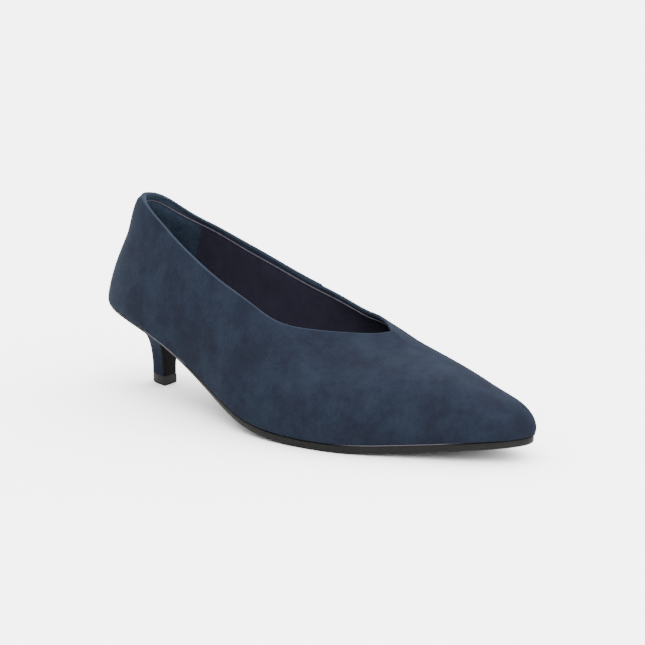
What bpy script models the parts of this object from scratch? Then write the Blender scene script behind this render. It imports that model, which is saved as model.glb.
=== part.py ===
"""Kitten heel pump for a right foot, with a pointed toe and a V throat.

The shoe is built round its last. X runs from the heel to the toe, +Y is the inner
(medial) side, -Y the outer (lateral) side and +Z is up, in metres. Every piece is
worked out from the same table of last sections, so the sole, the insole and the
heel seat follow the upper's own bottom edge.
"""

import math

import bmesh
import bpy
import numpy as np

MM = 0.001

# Driving dimensions, in millimetres.
LENGTH = 262.0
WALL = 1.8
MARGIN = 6.0
FIT_GAP = 0.3
INSOLE_THICKNESS = 2.0
INSOLE_INSET = 3.2
INSOLE_BEVEL = 0.6
TOE_EASE = 0.08
BREAST_THICKNESS = 1.0
TOP_PIECE_HEIGHT = 5.0
THROAT_X = 155.5
BALL_X = 144.0
TREAD_X = 196.0
TOE_X = 240.0
THROAT_NOTCH = 0.03
THROAT_REACH = 0.12
WALL_COLUMNS = 46
WALL_ROWS = 10
SWELL_PEAK = 4 / 27
ORIGIN_X = 131.2
ORIGIN_Y = -9.35

# The last, one row a section. x is the place of the section's bottom edge, lateral
# and medial its distances from the line from heel to toe, feather its height, where
# the upper meets the sole. The ridge is the top of the foot over the section, ahead
# of its bottom edge by ridge_ahead. Tilt is the slope across the top, up towards the
# medial side. Fullness is the power of each rounded side (2 is an ellipse), overhang
# how far the side stands out over its bottom edge.
LAST_COLUMNS = ("x", "lateral", "medial", "feather", "ridge_ahead", "ridge_y",
                "ridge_height", "tilt", "lateral_fullness", "medial_fullness", "overhang")
LAST_SECTIONS = (
    (0, 0, 0, 40.5, 62, 0, 138, 0, 1.38, 1.38, -0.8),
    (12, 15.8, 16.5, 41, 65, 0, 134, 0, 1.38, 1.38, 1.2),
    (35, 27, 22, 39, 56, -1.5, 127, 0, 1.42, 1.47, 2.0),
    (65, 33.3, 20.5, 30.5, 36, -1.5, 112, 0.02, 1.78, 1.87, 1.8),
    (95, 40, 18.5, 18, 20, 0, 94, 0.06, 2.2, 2.2, 1.5),
    (125, 48.8, 22.5, 7.8, 15, 1.5, 75, 0.12, 2.4, 2.5, 1.35),
    (155, 50, 31, 4.4, 22, 1.5, 50, 0.14, 2.7, 2.9, 1.4),
    (180, 46.5, 29.3, 4.6, 14, 1.5, 43, 0.08, 2.6, 2.8, 1.5),
    (205, 36.8, 24.5, 6.5, 10, 1, 37.3, 0.02, 2.5, 2.6, 1.7),
    (230, 25.5, 18.4, 9.0, 2, 0, 32.4, 0, 2.45, 2.5, 1.7),
    (250, 14.4, 10.8, 11.0, -6.8, 0, 27.9, 0, 2.4, 2.4, 1.2),
    (LENGTH, 0, 0, 12.8, -9, 0, 24.0, 0, 2.4, 2.4, 0.6),
)

# The share of the quarter turn from the ridge down to the bottom edge that the
# collar leaves open, on each side, at places given as a share of THROAT_X.
COLLAR_COLUMNS = ("place", "lateral_open", "medial_open")
COLLAR_SECTIONS = (
    (0.00, 0.490, 0.490),
    (0.10, 0.508, 0.518),
    (0.25, 0.524, 0.553),
    (0.45, 0.537, 0.560),
    (0.62, 0.508, 0.512),
    (0.76, 0.437, 0.470),
    (0.87, 0.325, 0.393),
    (0.95, 0.145, 0.260),
    (1.00, 0.000, 0.000),
)

# The sole's thickness from the tongue under the heel seat to the toe, and how far
# its edge lies inside the upper's bottom edge.
SOLE_COLUMNS = ("x", "thickness", "inset")
SOLE_SECTIONS = (
    (0, 0.8, 0.6),
    (45, 0.9, 0.8),
    (75, 2.0, 1.6),
    (110, 3.2, 1.4),
    (145, 4.1, 0.7),
    (200, 4.1, 0.5),
    (LENGTH, 3.7, 0.4),
)

# The sole's edge from its top to its bottom: how far each row lies inside the widest
# one, and its depth as a share of the thickness.
SOLE_EDGE = ((0.4, 0.0), (0.0, 0.12), (0.1, 0.65), (0.6, 0.9), (1.6, 1.0))

# The heel from its seat (level 1) down to its tip (level 0): the place of its flat
# breast, the width and depth as shares of the seat's, and the middle of its width.
HEEL_COLUMNS = ("level", "breast_x", "depth_share", "width_share", "middle_y")
HEEL_SECTIONS = (
    (1.00, 46.0, 1.00, 1.00, 0.0),
    (0.96, 45.2, 0.97, 0.96, 0.0),
    (0.86, 43.0, 0.74, 0.74, 0.0),
    (0.70, 40.8, 0.45, 0.46, 0.0),
    (0.52, 39.2, 0.30, 0.30, 0.0),
    (0.34, 38.2, 0.24, 0.23, 0.0),
    (0.15, 37.8, 0.22, 0.195, 0.0),
    (0.00, 37.8, 0.22, 0.19, 0.0),
)
HEEL_LEVELS = (1.0, 0.97, 0.93, 0.88, 0.82, 0.75, 0.67, 0.58, 0.46, 0.32, 0.16, 0.0)
HEEL_SEAT_X = 46.0
HEEL_INSET = 1.4

# The lift's edge: heights and the share of its full outline, chamfered at the floor.
TOP_PIECE_EDGE = ((TOP_PIECE_HEIGHT, 1.0), (0.5, 1.0), (0.0, 0.92))

NAVY_SUEDE = ("navy_suede", (0.030, 0.045, 0.075), 0.95)
DARK_SOLE = ("dark_sole", (0.045, 0.045, 0.043), 0.55)
BLACK_FACING = ("black_facing", (0.022, 0.022, 0.023), 0.5)
BLACK_RUBBER = ("black_rubber", (0.03, 0.03, 0.031), 0.7)
NAVY_LINING = ("navy_lining", (0.012, 0.013, 0.022), 0.6)


def spline(knots, values, at):
    """Natural cubic spline through values at the knots, read at the places given."""
    knots = np.asarray(knots, float)
    values = np.asarray(values, float)
    at = np.asarray(at, float)
    steps = np.diff(knots)
    count = len(knots)
    system = np.eye(count)
    right = np.zeros_like(values)
    for i in range(1, count - 1):
        system[i, i - 1:i + 2] = steps[i - 1], 2 * (steps[i - 1] + steps[i]), steps[i]
        rise = (values[i + 1] - values[i]) / steps[i]
        right[i] = 6 * (rise - (values[i] - values[i - 1]) / steps[i - 1])
    bend = np.linalg.solve(system, right)
    i = np.clip(np.searchsorted(knots, at, side="right") - 1, 0, count - 2)
    after = (at - knots[i])[..., None]
    before = (knots[i + 1] - at)[..., None]
    step = steps[i][..., None]
    curved = (bend[i] * before ** 3 + bend[i + 1] * after ** 3) / (6 * step)
    start = (values[i] / step - bend[i] * step / 6) * before
    end = (values[i + 1] / step - bend[i + 1] * step / 6) * after
    return curved + start + end


def station(x):
    """Angle round the last for a place x: 0 at the heel, pi at the toe."""
    return np.arccos(np.clip(1 - 2 * np.asarray(x, float) / LENGTH, -1, 1))


def place(angle):
    """Place x of the bottom edge for an angle round the last."""
    return LENGTH * (1 - np.cos(angle)) / 2


LAST_TABLE = np.array(LAST_SECTIONS, float)
LAST_KNOTS = station(LAST_TABLE[:, 0])
COLLAR_TABLE = np.array(COLLAR_SECTIONS, float)
COLLAR_KNOTS = station(COLLAR_TABLE[:, 0] * THROAT_X)
SOLE_TABLE = np.array(SOLE_SECTIONS, float)
HEEL_TABLE = np.array(HEEL_SECTIONS, float)[::-1]


def last(angle):
    """The last's section at an angle, as a dictionary of its columns."""
    row = spline(LAST_KNOTS, LAST_TABLE, angle)
    return {name: row[..., i] for i, name in enumerate(LAST_COLUMNS)}


def sole(x):
    """The sole's thickness and inset at a place x, as a dictionary."""
    row = spline(SOLE_TABLE[:, 0], SOLE_TABLE, x)
    return {name: row[..., i] for i, name in enumerate(SOLE_COLUMNS)}


def edge(side, angle):
    """Bottom edge of one side (-1 lateral, 1 medial): x and y."""
    section = last(angle)
    reach = section["medial"] if side > 0 else section["lateral"]
    return place(angle), side * reach


def outward(side, angle):
    """Unit normal of the bottom edge, pointing out of the shoe."""
    small = 0.001
    x_before, y_before = edge(side, angle - small)
    x_after, y_after = edge(side, angle + small)
    along_x = x_after - x_before
    along_y = y_after - y_before
    size = np.hypot(along_x, along_y)
    return -side * along_y / size, side * along_x / size


def feather_height(x):
    """Height of the upper's bottom edge at a place x."""
    return last(station(x))["feather"]


def above_feather(x, distance):
    """Height of a layer that lies a distance above the bottom edge, measured at
    right angles to the slope of the arch."""
    step = 0.5
    slope = (feather_height(x + step) - feather_height(x - step)) / (2 * step)
    return feather_height(x) + distance * np.sqrt(1 + slope ** 2)


def outline(side, angle, inset):
    """Bottom edge moved inwards by an inset."""
    x, y = edge(side, angle)
    out_x, out_y = outward(side, angle)
    return x - out_x * inset, y - out_y * inset


def ridge_slope(angle):
    """Slope of the ridge along the shoe, felt only in front of the ball and steady
    at the toe."""
    small = 0.02
    angle = np.clip(angle, small, station(TOE_X))
    before = last(angle - small)
    after = last(angle + small)
    run = place(angle + small) + after["ridge_ahead"]
    run = run - place(angle - small) - before["ridge_ahead"]
    front = np.clip((place(angle) - BALL_X) / (TREAD_X - BALL_X), 0, 1)
    return front * (after["ridge_height"] - before["ridge_height"]) / run


def wall_point(side, angle, turn):
    """A point on the outside of the upper, turn going from 0 at the bottom to a
    quarter turn at the ridge: a superellipse from the bottom edge to the ridge,
    pushed out along the edge's normal by the overhang. Its top follows the slope of
    the ridge lengthways and the tilt across."""
    section = last(angle)
    x_edge, y_edge = edge(side, angle)
    out_x, out_y = outward(side, angle)
    power = 2 / section["medial_fullness" if side > 0 else "lateral_fullness"]
    level = np.clip(np.cos(turn), 1e-9, 1) ** power
    rise = np.clip(np.sin(turn), 1e-9, 1) ** power
    swell = rise * (1 - rise) ** 2
    stand_out = section["overhang"] * swell / SWELL_PEAK
    x_ridge = x_edge + section["ridge_ahead"]
    x = x_ridge + (x_edge - x_ridge) * level + out_x * stand_out
    y = section["ridge_y"] + (y_edge - section["ridge_y"]) * level + out_y * stand_out
    top = section["ridge_height"] + ridge_slope(angle) * (x - x_ridge)
    z = section["feather"] + (top - section["feather"]) * rise
    z = z + section["tilt"] * (y - section["ridge_y"]) * rise ** 2
    return np.stack(np.broadcast_arrays(x, y, z), -1)


def collar_turn(side, angle):
    """How far up the wall the collar cuts, as a turn. It reaches the ridge at the
    throat, along a curve that is rounded over THROAT_NOTCH."""
    throat = station(THROAT_X)
    column = COLLAR_COLUMNS.index("medial_open" if side > 0 else "lateral_open")
    row = spline(COLLAR_KNOTS, COLLAR_TABLE, np.minimum(angle, throat))
    behind = np.maximum(throat - angle, 1e-5)
    share = row[..., column] * np.sqrt(1 + 2 * THROAT_NOTCH / behind)
    turn = (1 - np.clip(share, 0, 0.8)) * math.pi / 2
    return np.where(angle < throat, turn, math.pi / 2)


def wall_angles(columns):
    """Angles of the wall's columns, closer together next to the throat."""
    throat = station(THROAT_X)
    near = THROAT_REACH * np.linspace(0, 1, 5) ** 2
    behind = np.linspace(0, throat - near[-1], round(columns * 0.5), endpoint=False)
    ahead = np.linspace(math.pi, throat + near[-1], round(columns * 0.4), endpoint=False)
    angles = np.concatenate([behind, throat - near[::-1], throat + near[1:], ahead[::-1]])
    return np.clip(angles, 0.0005, math.pi - 0.0005)


def new_object(name, points, faces, finish, collection):
    """One named closed object from points in millimetres and faces."""
    mesh = bpy.data.meshes.new(name)
    mesh.from_pydata((np.asarray(points) * MM).tolist(), [], faces)
    work = bmesh.new()
    work.from_mesh(mesh)
    bmesh.ops.remove_doubles(work, verts=work.verts, dist=0.00008)
    bmesh.ops.dissolve_degenerate(work, edges=work.edges, dist=0.00002)
    bmesh.ops.recalc_face_normals(work, faces=work.faces)
    work.to_mesh(mesh)
    work.free()
    mesh.shade_smooth()
    mesh.set_sharp_from_angle(angle=math.radians(40))
    mesh.materials.append(make_material(finish))
    thing = bpy.data.objects.new(name, mesh)
    collection.objects.link(thing)
    return thing


def make_material(finish):
    """Principled material for a finish of name, linear colour and roughness."""
    name, colour, roughness = finish
    material = bpy.data.materials.get(name) or bpy.data.materials.new(name)
    material.use_nodes = True
    shader = material.node_tree.nodes["Principled BSDF"]
    shader.inputs["Base Color"].default_value = (*colour, 1)
    shader.inputs["Roughness"].default_value = roughness
    shader.inputs["Metallic"].default_value = 0
    return material


def inward(side, angle, turn):
    """Unit normal of the upper's outside at a point, pointing into the shoe."""
    small = 0.003
    along = wall_point(side, angle + small, turn) - wall_point(side, angle - small, turn)
    upward = wall_point(side, angle, turn + small) - wall_point(side, angle, turn - small)
    normal = side * np.cross(along, upward)
    return normal / np.linalg.norm(normal, axis=-1, keepdims=True)


def make_upper(collection):
    """The suede upper as a hollow shell: the outside from the turned-in margin under
    the foot up to the collar, and the inside one wall thickness behind it, mitred
    where the wall turns in. The sides join over the toe, so the collar's and the
    throat's rim ends there."""
    angles = wall_angles(WALL_COLUMNS)
    shares = np.linspace(0, 1, WALL_ROWS + 1)
    ring = 2 * (WALL_ROWS + 2)
    turns = {side: collar_turn(side, angles)[:, None] * shares for side in (-1, 1)}
    lining = {side: inward(side, angles[:, None], turns[side]) for side in (-1, 1)}
    joined = angles > station(THROAT_X) - 1e-6
    shared = lining[-1] + lining[1]
    shared /= np.linalg.norm(shared, axis=-1, keepdims=True)
    points = []
    faces = []
    for side in (-1, 1):
        wall = wall_point(side, angles[:, None], turns[side])
        behind = lining[side]
        behind[[0, -1]] = shared[[0, -1]]
        behind[joined, -1] = shared[joined, -1]
        margin_x, margin_y = outline(side, angles, MARGIN)
        margin = np.stack([margin_x, margin_y, feather_height(margin_x)], -1)[:, None]
        rise = np.broadcast_to([0.0, 0.0, 1.0], margin.shape)
        lean = (behind[:, :1] * rise).sum(axis=-1, keepdims=True)
        behind[:, :1] = (behind[:, :1] + rise) / (1 + lean)
        outside = np.concatenate([margin, wall], axis=1)
        inside = outside + WALL * np.concatenate([rise, behind], axis=1)
        loops = np.concatenate([outside, inside[:, ::-1]], axis=1)
        for i in range(len(angles) - 1):
            for j in range(ring):
                if j == WALL_ROWS + 1 and joined[i]:
                    continue
                after = (j + 1) % ring
                first = len(points) + i * ring
                face = (first + j, first + ring + j, first + ring + after, first + after)
                faces.append(face[::-1] if side > 0 else face)
        points += loops.reshape(-1, 3).tolist()
    return new_object("upper", points, faces, NAVY_SUEDE, collection)


def plate(name, rings, finish, collection):
    """A closed plate from rings of (inset, height) functions of the angle, from its
    top to its bottom. The ring runs along the lateral edge to the toe and back along
    the medial edge, and rungs from side to side close the top and the bottom."""
    angles = wall_angles(WALL_COLUMNS)
    rungs = len(angles) - 1
    count = 2 * rungs
    points = []
    for inset, height in rings:
        for side, part in ((-1, angles), (1, angles[-2:0:-1])):
            x, y = outline(side, part, inset(place(part)))
            points += np.stack([x, y, height(x)], -1).tolist()
    faces = ring_faces(len(rings), count)
    for first, flip in ((0, False), ((len(rings) - 1) * count, True)):
        for i in range(rungs):
            rung = (i, i + 1, count - i - 1, (count - i) % count)
            rung = [first + corner for corner in dict.fromkeys(rung)]
            faces.append(rung[::-1] if flip else rung)
    return new_object(name, points, faces, finish, collection)


def ring_faces(rings, count):
    """Quads between rings that each have the same count of points."""
    faces = []
    for i in range(rings - 1):
        for j in range(count):
            after = (j + 1) % count
            faces.append((i * count + j, (i + 1) * count + j,
                          (i + 1) * count + after, i * count + after))
    return faces


def make_insole(collection):
    """The insole board, inside the upper and resting on its turned-in margin."""
    low = WALL + FIT_GAP
    high = low + INSOLE_THICKNESS

    def inside(extra):
        return lambda x: INSOLE_INSET + extra + TOE_EASE * np.clip(x - TOE_X, 0, None)

    def height(distance):
        return lambda x: above_feather(x, distance)

    rings = (
        (inside(INSOLE_BEVEL), height(high)),
        (inside(0.0), height(high - INSOLE_BEVEL)),
        (inside(0.0), height(low)),
    )
    return plate("insole", rings, NAVY_LINING, collection)


def sole_top(x):
    """Height of the sole's upper face, just under the upper's margin."""
    return feather_height(x) - FIT_GAP


def sole_bottom(x):
    """Height of the sole's lower face, flat on the floor under the ball."""
    return np.maximum(sole_top(x) - sole(x)["thickness"], 0)


def make_outsole(collection):
    """The full-length sole with an edge rounded by the rows of SOLE_EDGE."""
    def inside(extra):
        return lambda x: sole(x)["inset"] + extra

    def depth(share):
        return lambda x: sole_top(x) + (sole_bottom(x) - sole_top(x)) * share

    rings = [(inside(extra), depth(share)) for extra, share in SOLE_EDGE]
    return plate("outsole", rings, DARK_SOLE, collection)


def heel_row(level):
    """The heel's section at a level, as a dictionary of its columns."""
    row = spline(HEEL_TABLE[:, 0], HEEL_TABLE, level)
    return {name: row[..., i] for i, name in enumerate(HEEL_COLUMNS)}


def heel_seat(x):
    """Height of the heel's seat, just under the sole's tongue."""
    return sole_bottom(x) - FIT_GAP


def heel_ring(level, back=28, front=6):
    """Closed ring of the heel at a level: the seat's back outline drawn in towards
    the breast, then straight across the breast. The first point is the breast's
    lateral corner and the last of the back its medial one."""
    row = heel_row(level)
    end = station(HEEL_SEAT_X)
    angles = end * np.linspace(1, 0, back // 2 + 1)
    x_lateral, y_lateral = outline(-1, angles, HEEL_INSET)
    x_medial, y_medial = outline(1, angles[-2::-1], HEEL_INSET)
    x_seat = np.minimum(np.concatenate([x_lateral, x_medial]), HEEL_SEAT_X)
    y_seat = np.concatenate([y_lateral, y_medial])
    across = np.linspace(y_seat[-1], y_seat[0], front + 1)[1:-1]
    x_seat = np.concatenate([x_seat, np.full(front - 1, HEEL_SEAT_X)])
    y_seat = np.concatenate([y_seat, across])
    x = row["breast_x"] - (HEEL_SEAT_X - x_seat) * row["depth_share"]
    y = row["middle_y"] + y_seat * row["width_share"]
    bottom = TOP_PIECE_HEIGHT + FIT_GAP
    z = bottom + (heel_seat(x) - bottom) * level
    return np.stack([x, y, z], -1)


def make_heel(collection):
    """The covered heel: a wide seat that draws in to a slim stem."""
    rings = [heel_ring(level) for level in HEEL_LEVELS]
    count = len(rings[0])
    faces = ring_faces(len(rings), count)
    faces += [list(range(count)), list(range((len(rings) - 1) * count, len(rings) * count))[::-1]]
    return new_object("heel", np.concatenate(rings), faces, NAVY_SUEDE, collection)


def make_heel_breast(collection):
    """The thin facing on the flat front of the heel, from the sole to the lift."""
    near = FIT_GAP
    far = FIT_GAP + BREAST_THICKNESS
    ahead = np.array([near, far, far, near])
    bottom = TOP_PIECE_HEIGHT + FIT_GAP
    rings = []
    for level in np.linspace(1, 0, 9):
        heel = heel_ring(level, back=2, front=1)
        ring = np.array([heel[0], heel[0], heel[-1], heel[-1]])
        ring[:, 0] += ahead
        ring[:, 2] = bottom + (heel_seat(HEEL_SEAT_X + ahead) - bottom) * level
        rings.append(ring)
    faces = ring_faces(len(rings), 4)
    faces += [(0, 1, 2, 3), tuple(range(len(rings) * 4 - 1, len(rings) * 4 - 5, -1))]
    points = np.concatenate(rings)
    return new_object("heel_breast", points, faces, BLACK_FACING, collection)


def make_top_piece(collection):
    """The rubber lift under the heel, flush with the facing of the breast."""
    ring = heel_ring(0.0)
    back_x = ring[:, 0].min()
    front_x = ring[:, 0].max()
    reach = front_x + FIT_GAP + BREAST_THICKNESS - back_x
    ring[:, 0] = back_x + (ring[:, 0] - back_x) * reach / (front_x - back_x)
    middle = (ring.min(axis=0) + ring.max(axis=0)) / 2
    rings = []
    for height, share in TOP_PIECE_EDGE:
        drawn = middle + (ring - middle) * share
        drawn[:, 2] = height
        rings.append(drawn)
    count = len(ring)
    faces = ring_faces(len(rings), count)
    faces += [list(range(count)), list(range(2 * count, 3 * count))[::-1]]
    points = np.concatenate(rings)
    return new_object("top_piece", points, faces, BLACK_RUBBER, collection)


def build():
    """Clear the scene and build every piece under one empty."""
    for thing in list(bpy.data.objects):
        bpy.data.objects.remove(thing, do_unlink=True)
    collection = bpy.data.collections.new("kitten_heel_pump")
    bpy.context.scene.collection.children.link(collection)
    centre = bpy.data.objects.new("pump", None)
    collection.objects.link(centre)
    pieces = [
        make_upper(collection),
        make_insole(collection),
        make_outsole(collection),
        make_heel(collection),
        make_heel_breast(collection),
        make_top_piece(collection),
    ]
    for piece in pieces:
        piece.parent = centre
    centre.location = (-ORIGIN_X * MM, -ORIGIN_Y * MM, 0)


build()
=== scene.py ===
"""Looks of a navy suede kitten heel pump, a right shoe seen from its outer side.

Every surface is worked out from the same last as the solids: a table of sections from
heel to toe, read by a smooth curve. Lengths are millimetres on the last, with x from
the heel to the toe, -y the outer (lateral) side and z up, until a mesh is made. The
studio is bright enough to keep its paper pale, so the finishes are dyed darker than
the real ones and shine less.
"""

from __future__ import annotations

import logging
import math
from dataclasses import dataclass
from enum import Enum

import bmesh
import bpy
import numpy as np
from mathutils import Matrix, Vector

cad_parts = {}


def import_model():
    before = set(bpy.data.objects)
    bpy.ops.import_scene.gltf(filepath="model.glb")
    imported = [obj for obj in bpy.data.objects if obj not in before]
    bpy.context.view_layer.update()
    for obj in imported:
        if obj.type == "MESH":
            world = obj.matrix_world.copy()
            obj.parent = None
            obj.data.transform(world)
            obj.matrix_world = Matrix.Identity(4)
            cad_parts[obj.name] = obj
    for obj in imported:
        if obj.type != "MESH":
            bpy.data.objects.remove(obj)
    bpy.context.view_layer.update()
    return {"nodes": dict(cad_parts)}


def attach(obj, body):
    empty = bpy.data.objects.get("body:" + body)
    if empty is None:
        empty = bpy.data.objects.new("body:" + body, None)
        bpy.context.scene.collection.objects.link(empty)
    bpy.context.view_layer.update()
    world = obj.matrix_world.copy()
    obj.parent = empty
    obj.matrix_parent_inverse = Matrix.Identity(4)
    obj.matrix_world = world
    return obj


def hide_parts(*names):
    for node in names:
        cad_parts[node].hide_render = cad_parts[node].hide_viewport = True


LOG = logging.getLogger("pump")
MM = 0.001
PHOTO_SIDE = 645
SENSOR_MM = 36.0
# Angle that keeps a grid off the two ends of the last, where its edge has no width.
END_ANGLE = 0.0005
# Factor that makes the peak of rise (1 - rise) squared 1.
OVERHANG_PEAK = 6.75
# Length in metres under which an edge counts as none, and the angle of a sharp edge.
NO_LENGTH = 0.000001
SHARP_DEGREES = 50.0

Grid = np.ndarray
Table = tuple[tuple[float, ...], ...]

LAST_COLUMNS = ("x", "lateral", "medial", "feather", "ridge_ahead", "ridge_y",
                "ridge_height", "tilt", "lateral_fullness", "medial_fullness", "overhang")
COLLAR_COLUMNS = ("place", "lateral_open", "medial_open")
SOLE_COLUMNS = ("x", "thickness", "inset")
HEEL_COLUMNS = ("level", "breast_x", "depth_share", "width_share")


class Side(Enum):
    """The two sides of the shoe, with the sign of their y."""

    LATERAL = -1
    MEDIAL = 1

    @property
    def label(self) -> str:
        """The side's name in the tables' columns."""
        return self.name.lower()


def natural_spline(knots: Grid, values: Grid, at: Grid) -> Grid:
    """Natural cubic spline: second slopes that vanish at both ends are solved for, and
    each stretch is the cubic that has them.

    Args:
        knots: Rising places of the rows.
        values: One row of numbers for each knot.
        at: Places to read.

    Returns:
        The rows at those places.
    """
    steps = np.diff(knots)
    count = len(knots)
    system = np.eye(count)
    right = np.zeros_like(values)
    for i in range(1, count - 1):
        system[i, i - 1:i + 2] = steps[i - 1], 2 * (steps[i - 1] + steps[i]), steps[i]
        rise = (values[i + 1] - values[i]) / steps[i]
        right[i] = 6 * (rise - (values[i] - values[i - 1]) / steps[i - 1])
    bend = np.linalg.solve(system, right)
    i = np.clip(np.searchsorted(knots, at, side="right") - 1, 0, count - 2)
    after = (at - knots[i])[..., None]
    before = (knots[i + 1] - at)[..., None]
    step = steps[i][..., None]
    curved = (bend[i] * before ** 3 + bend[i + 1] * after ** 3) / (6 * step)
    start = (values[i] / step - bend[i] * step / 6) * before
    end = (values[i + 1] / step - bend[i + 1] * step / 6) * after
    return curved + start + end


def read_columns(knots: Grid, table: Grid, at: Grid | float,
                 columns: tuple[str, ...]) -> dict[str, Grid]:
    """Reads a table of sections by a natural cubic spline.

    Args:
        knots: Rising places of the table's rows.
        table: The table.
        at: Places to read.
        columns: Names of the table's columns.

    Returns:
        The values at those places by the columns' names.
    """
    row = natural_spline(knots, table, np.asarray(at, float))
    return {name: row[..., i] for i, name in enumerate(columns)}


def smooth_step(low: float, high: float, at: Grid | float) -> Grid:
    """Rises from 0 at low to 1 at high, level at both ends."""
    share = np.clip((at - low) / (high - low), 0, 1)
    return share * share * (3 - 2 * share)


@dataclass(frozen=True)
class Last:
    """The last that the shoe is made on, with its collar line."""

    length: float = 262.0
    wall: float = 1.8
    gap: float = 0.3
    throat_x: float = 153.8
    throat_notch: float = 0.024
    throat_reach: float = 0.12
    throat_columns: int = 14
    ball_x: float = 144.0
    tread_x: float = 196.0
    toe_x: float = 240.0
    origin_x: float = 131.2
    origin_y: float = -9.35
    sections: Table = (
        (0, 0, 0, 40.5, 62, 0, 138, 0, 1.38, 1.38, -0.8),
        (12, 15.8, 16.5, 41, 65, 0, 134, 0, 1.38, 1.38, 1.2),
        (35, 27, 22, 39, 56, -1.5, 127, 0, 1.42, 1.47, 2.0),
        (65, 33.3, 20.5, 30.5, 36, -1.5, 112, 0.02, 1.78, 1.87, 1.8),
        (95, 40, 18.5, 18, 20, 0, 94, 0.06, 2.2, 2.2, 1.5),
        (125, 48.8, 22.5, 7.8, 15, 3.7, 71, 0.12, 2.4, 2.5, 1.35),
        (155, 50, 31, 4.4, 22, 6.5, 47.9, 0.14, 2.7, 2.9, 1.4),
        (180, 46.5, 29.3, 4.6, 14, 4.5, 41.9, 0.08, 2.6, 2.8, 1.5),
        (205, 36.8, 24.5, 6.5, 10, 1, 37.3, 0.02, 2.5, 2.6, 1.7),
        (230, 25.5, 18.4, 9.0, 2, 0, 32.4, 0, 2.45, 2.5, 1.7),
        (250, 14.9, 11.3, 11.0, -6.0, 0, 29.2, 0, 2.7, 2.7, 1.2),
        (262, 0, 0, 12.8, -8, 0, 26.0, 0, 2.8, 2.8, 0.6),
    )
    collar: Table = (
        (0.00, 0.495, 0.495),
        (0.02, 0.496, 0.497),
        (0.10, 0.508, 0.530),
        (0.25, 0.524, 0.557),
        (0.45, 0.537, 0.556),
        (0.62, 0.508, 0.501),
        (0.76, 0.423, 0.427),
        (0.87, 0.308, 0.332),
        (0.95, 0.118, 0.202),
        (1.00, 0.000, 0.000),
    )

    @property
    def half_length(self) -> float:
        """Millimetres to a radian of angle round the last, at its middle."""
        return self.length / 2

    def station(self, x: Grid | float) -> Grid:
        """Angle round the last for a place x: 0 at the heel, pi at the toe."""
        return np.arccos(np.clip(1 - 2 * np.asarray(x, float) / self.length, -1, 1))

    def place(self, angle: Grid) -> Grid:
        """Place x of the bottom edge for an angle round the last."""
        return self.length * (1 - np.cos(angle)) / 2

    def section(self, angle: Grid) -> dict[str, Grid]:
        """The last's section at an angle, by the names of its columns."""
        table = np.array(self.sections, float)
        return read_columns(self.station(table[:, 0]), table, angle, LAST_COLUMNS)

    def feather(self, x: Grid) -> Grid:
        """Height of the upper's bottom edge at a place x."""
        return self.section(self.station(x))["feather"]

    def edge(self, side: Side, angle: Grid) -> tuple[Grid, Grid]:
        """Bottom edge of one side: x and y."""
        return self.place(angle), side.value * self.section(angle)[side.label]

    def outward(self, side: Side, angle: Grid) -> tuple[Grid, Grid]:
        """Unit normal of the bottom edge, out of the shoe: the step from just before an
        angle to just after it, turned a quarter.

        Args:
            side: Side of the shoe.
            angle: Angles round the last.

        Returns:
            The normal's x and y.
        """
        small = 0.001
        x_before, y_before = self.edge(side, angle - small)
        x_after, y_after = self.edge(side, angle + small)
        size = np.hypot(x_after - x_before, y_after - y_before)
        return -side.value * (y_after - y_before) / size, side.value * (x_after - x_before) / size

    def outline(self, side: Side, angle: Grid, inset: Grid | float) -> tuple[Grid, Grid]:
        """Bottom edge moved inwards along its normal.

        Args:
            side: Side of the shoe.
            angle: Angles round the last.
            inset: How far it is moved.

        Returns:
            The moved edge's x and y.
        """
        x, y = self.edge(side, angle)
        out_x, out_y = self.outward(side, angle)
        return x - out_x * inset, y - out_y * inset

    def ridge_slope(self, angle: Grid) -> Grid:
        """Slope of the ridge, its rise over its run between two near sections, felt
        ahead of the ball and steady at the toe.

        Args:
            angle: Angles round the last.

        Returns:
            The slope at each angle.
        """
        small = 0.02
        angle = np.clip(angle, small, self.station(self.toe_x))
        before = self.section(angle - small)
        after = self.section(angle + small)
        run = self.place(angle + small) + after["ridge_ahead"]
        run = run - self.place(angle - small) - before["ridge_ahead"]
        front = np.clip((self.place(angle) - self.ball_x) / (self.tread_x - self.ball_x), 0, 1)
        return front * (after["ridge_height"] - before["ridge_height"]) / run

    def wall_point(self, side: Side, angle: Grid, turn: Grid) -> Grid:
        """A point outside on the upper. With turn from 0 at the bottom to a quarter turn
        at the ridge, level and rise are the powers 2 / fullness of its cosine and sine,
        so the section is a superellipse from the bottom edge to the ridge. It is pushed
        out by the overhang times rise (1 - rise) squared, and its top follows the ridge.

        Args:
            side: Side of the shoe.
            angle: Angles round the last.
            turn: Turns up the wall, of a shape that fits the angles.

        Returns:
            Points of the shape of both with a last axis of x, y and z.
        """
        section = self.section(angle)
        x_edge, y_edge = self.edge(side, angle)
        out_x, out_y = self.outward(side, angle)
        power = 2 / section[side.label + "_fullness"]
        level = np.clip(np.cos(turn), 1e-9, 1) ** power
        rise = np.clip(np.sin(turn), 1e-9, 1) ** power
        stand_out = section["overhang"] * OVERHANG_PEAK * rise * (1 - rise) ** 2
        x_ridge = x_edge + section["ridge_ahead"]
        x = x_ridge + (x_edge - x_ridge) * level + out_x * stand_out
        y = section["ridge_y"] + (y_edge - section["ridge_y"]) * level + out_y * stand_out
        top = section["ridge_height"] + self.ridge_slope(angle) * (x - x_ridge)
        z = section["feather"] + (top - section["feather"]) * rise
        z = z + section["tilt"] * (y - section["ridge_y"]) * rise ** 2
        return np.stack(np.broadcast_arrays(x, y, z), -1)

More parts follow.
